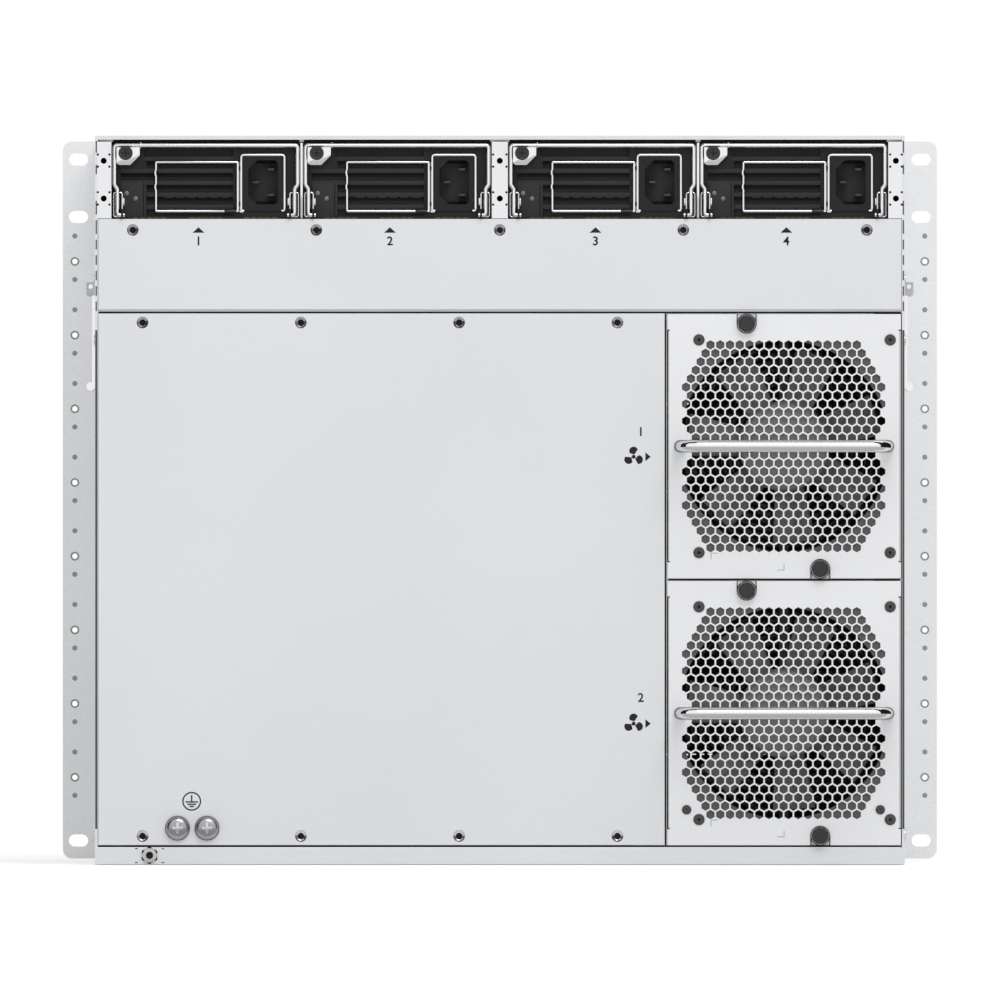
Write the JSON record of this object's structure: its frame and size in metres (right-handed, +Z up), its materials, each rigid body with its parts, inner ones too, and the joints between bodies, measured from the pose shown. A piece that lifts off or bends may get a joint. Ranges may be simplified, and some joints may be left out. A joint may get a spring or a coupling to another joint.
{
  "type": "modular chassis switch",
  "caption": "Rack-mounted modular switch chassis with rear power supplies, slide-out fan trays with bar handles, front plug-in cards with ejector levers and folded rack ears.",
  "frame": {"origin": "middle of the housing's underside", "axes": "+Z up, +X to the right when facing the power and fan side, -Y out of that side, +Y out of the card side"},
  "size_m": [0.4826, 0.4659, 0.3958],
  "materials": {
    "housing_paint": "fine pale grey powder coat",
    "ear_paint": "fine pale grey powder coat",
    "zinc_sheet": "zinc plated inner sheet",
    "bright_steel": "polished wire and bar",
    "screw_steel": "nickel plated",
    "dark_cap": "dark moulded",
    "dark_plastic": "black moulded plastic",
    "fan_plastic": "glass filled, satin",
    "board_green": "solder mask on laminate",
    "lever_plastic": "satin moulded"
  },
  "bodies": {
    "chassis": {"base_pan": "housing_paint", "side_wall_left": "housing_paint", "side_wall_right": "housing_paint", "top_cover": "housing_paint", "rear_frame": "zinc_sheet", "rear_panel": "housing_paint", "power_cover": "housing_paint", "ear_left": "ear_paint", "ear_right": "ear_paint", "wrist_strap_jack": "screw_steel", "ground_screws": "screw_steel", "midplane": "board_green", "power_bay": "housing_paint", "power_board": "board_green", "handle_plate_left": "zinc_sheet", "handle_plate_right": "zinc_sheet", "blank_panel_upper": "housing_paint", "blank_panel_lower": "housing_paint"},
    "supply_1": {"supply_1_case": "dark_plastic"},
    "supply_1_bow": {"supply_1_handle": "bright_steel"},
    "supply_1_latch": {"supply_1_screw": "dark_cap"},
    "supply_1_clip": {"supply_1_cable_clip": "bright_steel"},
    "supply_2": {"supply_2_case": "dark_plastic"},
    "supply_2_bow": {"supply_2_handle": "bright_steel"},
    "supply_2_latch": {"supply_2_screw": "dark_cap"},
    "supply_2_clip": {"supply_2_cable_clip": "bright_steel"},
    "supply_3": {"supply_3_case": "dark_plastic"},
    "supply_3_bow": {"supply_3_handle": "bright_steel"},
    "supply_3_latch": {"supply_3_screw": "dark_cap"},
    "supply_3_clip": {"supply_3_cable_clip": "bright_steel"},
    "supply_4": {"supply_4_case": "dark_plastic"},
    "supply_4_bow": {"supply_4_handle": "bright_steel"},
    "supply_4_latch": {"supply_4_screw": "dark_cap"},
    "supply_4_clip": {"supply_4_cable_clip": "bright_steel"},
    "fan_tray_1": {"fan_tray_1": "housing_paint", "fan_tray_1_handle": "bright_steel", "fan_1_frame": "fan_plastic"},
    "fan_1_rotor": {"fan_1_rotor": "fan_plastic"},
    "fan_tray_1_screw_upper": {"fan_tray_1_screw_upper": "dark_cap"},
    "fan_tray_1_screw_lower": {"fan_tray_1_screw_lower": "dark_cap"},
    "fan_tray_2": {"fan_tray_2": "housing_paint", "fan_tray_2_handle": "bright_steel", "fan_2_frame": "fan_plastic"},
    "fan_2_rotor": {"fan_2_rotor": "fan_plastic"},
    "fan_tray_2_screw_upper": {"fan_tray_2_screw_upper": "dark_cap"},
    "fan_tray_2_screw_lower": {"fan_tray_2_screw_lower": "dark_cap"},
    "line_card_1": {"line_card_1": "housing_paint"},
    "line_card_1_lever_left": {"line_card_1_lever_left": "lever_plastic"},
    "line_card_1_lever_right": {"line_card_1_lever_right": "lever_plastic"},
    "control_card_1": {"control_card_1": "housing_paint"},
    "control_card_1_lever_left": {"control_card_1_lever_left": "lever_plastic"},
    "control_card_1_lever_right": {"control_card_1_lever_right": "lever_plastic"},
    "control_card_2": {"control_card_2": "housing_paint"},
    "control_card_2_lever_left": {"control_card_2_lever_left": "lever_plastic"},
    "control_card_2_lever_right": {"control_card_2_lever_right": "lever_plastic"},
    "line_card_2": {"line_card_2": "housing_paint"},
    "line_card_2_lever_left": {"line_card_2_lever_left": "lever_plastic"},
    "line_card_2_lever_right": {"line_card_2_lever_right": "lever_plastic"},
    "side_handle_left": {"side_handle_left": "bright_steel"},
    "side_handle_right": {"side_handle_right": "bright_steel"}
  },
  "joints": [
    {"name": "supply_1_slide", "type": "slide", "parent": "chassis", "child": "supply_1", "axis": [0, -1, 0], "range_m": [0, 0.24]},
    {"name": "supply_1_handle_swing", "type": "hinge", "parent": "supply_1", "child": "supply_1_bow", "pos_m": [-0.1596, -0.2097, 0.3528], "axis": [1, 0, 0], "range_deg": [0, 90]},
    {"name": "supply_1_screw_turn", "type": "hinge", "parent": "supply_1_bow", "child": "supply_1_latch", "pos_m": [-0.2033, -0.207, 0.3864], "axis": [0, -1, 0], "range_deg": [0, 1080]},
    {"name": "supply_1_clip_swing", "type": "hinge", "parent": "supply_1", "child": "supply_1_clip", "pos_m": [-0.1424, -0.2081, 0.3682], "axis": [0, 0, 1], "range_deg": [0, 120]},
    {"name": "supply_2_slide", "type": "slide", "parent": "chassis", "child": "supply_2", "axis": [0, -1, 0], "range_m": [0, 0.24]},
    {"name": "supply_2_handle_swing", "type": "hinge", "parent": "supply_2", "child": "supply_2_bow", "pos_m": [-0.0558, -0.2097, 0.3528], "axis": [1, 0, 0], "range_deg": [0, 90]},
    {"name": "supply_2_screw_turn", "type": "hinge", "parent": "supply_2_bow", "child": "supply_2_latch", "pos_m": [-0.0995, -0.207, 0.3864], "axis": [0, -1, 0], "range_deg": [0, 1080]},
    {"name": "supply_2_clip_swing", "type": "hinge", "parent": "supply_2", "child": "supply_2_clip", "pos_m": [-0.0386, -0.2081, 0.3682], "axis": [0, 0, 1], "range_deg": [0, 120]},
    {"name": "supply_3_slide", "type": "slide", "parent": "chassis", "child": "supply_3", "axis": [0, -1, 0], "range_m": [0, 0.24]},
    {"name": "supply_3_handle_swing", "type": "hinge", "parent": "supply_3", "child": "supply_3_bow", "pos_m": [0.0558, -0.2097, 0.3528], "axis": [1, 0, 0], "range_deg": [0, 90]},
    {"name": "supply_3_screw_turn", "type": "hinge", "parent": "supply_3_bow", "child": "supply_3_latch", "pos_m": [0.0121, -0.207, 0.3864], "axis": [0, -1, 0], "range_deg": [0, 1080]},
    {"name": "supply_3_clip_swing", "type": "hinge", "parent": "supply_3", "child": "supply_3_clip", "pos_m": [0.073, -0.2081, 0.3682], "axis": [0, 0, 1], "range_deg": [0, 120]},
    {"name": "supply_4_slide", "type": "slide", "parent": "chassis", "child": "supply_4", "axis": [0, -1, 0], "range_m": [0, 0.24]},
    {"name": "supply_4_handle_swing", "type": "hinge", "parent": "supply_4", "child": "supply_4_bow", "pos_m": [0.1596, -0.2097, 0.3528], "axis": [1, 0, 0], "range_deg": [0, 90]},
    {"name": "supply_4_screw_turn", "type": "hinge", "parent": "supply_4_bow", "child": "supply_4_latch", "pos_m": [0.1159, -0.207, 0.3864], "axis": [0, -1, 0], "range_deg": [0, 1080]},
    {"name": "supply_4_clip_swing", "type": "hinge", "parent": "supply_4", "child": "supply_4_clip", "pos_m": [0.1768, -0.2081, 0.3682], "axis": [0, 0, 1], "range_deg": [0, 120]},
    {"name": "fan_tray_1_slide", "type": "slide", "parent": "chassis", "child": "fan_tray_1", "axis": [0, -1, 0], "range_m": [0, 0.12]},
    {"name": "fan_1_spin", "type": "hinge", "parent": "fan_tray_1", "child": "fan_1_rotor", "pos_m": [0.1545, -0.19, 0.2271], "axis": [0, -1, 0], "continuous": true},
    {"name": "fan_tray_1_screw_upper_turn", "type": "hinge", "parent": "fan_tray_1", "child": "fan_tray_1_screw_upper", "pos_m": [0.1341, -0.209, 0.2937], "axis": [0, -1, 0], "range_deg": [0, 1080]},
    {"name": "fan_tray_1_screw_lower_turn", "type": "hinge", "parent": "fan_tray_1", "child": "fan_tray_1_screw_lower", "pos_m": [0.1741, -0.209, 0.1605], "axis": [0, -1, 0], "range_deg": [0, 1080]},
    {"name": "fan_tray_2_slide", "type": "slide", "parent": "chassis", "child": "fan_tray_2", "axis": [0, -1, 0], "range_m": [0, 0.12]},
    {"name": "fan_2_spin", "type": "hinge", "parent": "fan_tray_2", "child": "fan_2_rotor", "pos_m": [0.1545, -0.19, 0.0821], "axis": [0, -1, 0], "continuous": true},
    {"name": "fan_tray_2_screw_upper_turn", "type": "hinge", "parent": "fan_tray_2", "child": "fan_tray_2_screw_upper", "pos_m": [0.1341, -0.209, 0.1487], "axis": [0, -1, 0], "range_deg": [0, 1080]},
    {"name": "fan_tray_2_screw_lower_turn", "type": "hinge", "parent": "fan_tray_2", "child": "fan_tray_2_screw_lower", "pos_m": [0.1741, -0.209, 0.0155], "axis": [0, -1, 0], "range_deg": [0, 1080]},
    {"name": "line_card_1_slide", "type": "slide", "parent": "chassis", "child": "line_card_1", "axis": [0, 1, 0], "range_m": [0, 0.28]},
    {"name": "line_card_1_lever_left_swing", "type": "hinge", "parent": "line_card_1", "child": "line_card_1_lever_left", "pos_m": [-0.2065, 0.2145, 0.22685], "axis": [0, 0, 1], "range_deg": [0, 60]},
    {"name": "line_card_1_lever_right_swing", "type": "hinge", "parent": "line_card_1", "child": "line_card_1_lever_right", "pos_m": [0.2065, 0.2145, 0.22685], "axis": [0, 0, -1], "range_deg": [0, 60]},
    {"name": "control_card_1_slide", "type": "slide", "parent": "chassis", "child": "control_card_1", "axis": [0, 1, 0], "range_m": [0, 0.28]},
    {"name": "control_card_1_lever_left_swing", "type": "hinge", "parent": "control_card_1", "child": "control_card_1_lever_left", "pos_m": [-0.2065, 0.2145, 0.17842], "axis": [0, 0, 1], "range_deg": [0, 60]},
    {"name": "control_card_1_lever_right_swing", "type": "hinge", "parent": "control_card_1", "child": "control_card_1_lever_right", "pos_m": [0.2065, 0.2145, 0.17842], "axis": [0, 0, -1], "range_deg": [0, 60]},
    {"name": "control_card_2_slide", "type": "slide", "parent": "chassis", "child": "control_card_2", "axis": [0, 1, 0], "range_m": [0, 0.28]},
    {"name": "control_card_2_lever_left_swing", "type": "hinge", "parent": "control_card_2", "child": "control_card_2_lever_left", "pos_m": [-0.2065, 0.2145, 0.12998], "axis": [0, 0, 1], "range_deg": [0, 60]},
    {"name": "control_card_2_lever_right_swing", "type": "hinge", "parent": "control_card_2", "child": "control_card_2_lever_right", "pos_m": [0.2065, 0.2145, 0.12998], "axis": [0, 0, -1], "range_deg": [0, 60]},
    {"name": "line_card_2_slide", "type": "slide", "parent": "chassis", "child": "line_card_2", "axis": [0, 1, 0], "range_m": [0, 0.28]},
    {"name": "line_card_2_lever_left_swing", "type": "hinge", "parent": "line_card_2", "child": "line_card_2_lever_left", "pos_m": [-0.2065, 0.2145, 0.08155], "axis": [0, 0, 1], "range_deg": [0, 60]},
    {"name": "line_card_2_lever_right_swing", "type": "hinge", "parent": "line_card_2", "child": "line_card_2_lever_right", "pos_m": [0.2065, 0.2145, 0.08155], "axis": [0, 0, -1], "range_deg": [0, 60]},
    {"name": "side_handle_left_swing", "type": "hinge", "parent": "chassis", "child": "side_handle_left", "pos_m": [-0.2236, 0, 0.3145], "axis": [0, 1, 0], "range_deg": [0, 90]},
    {"name": "side_handle_right_swing", "type": "hinge", "parent": "chassis", "child": "side_handle_right", "pos_m": [0.2236, 0, 0.3145], "axis": [0, -1, 0], "range_deg": [0, 90]}
  ]
}
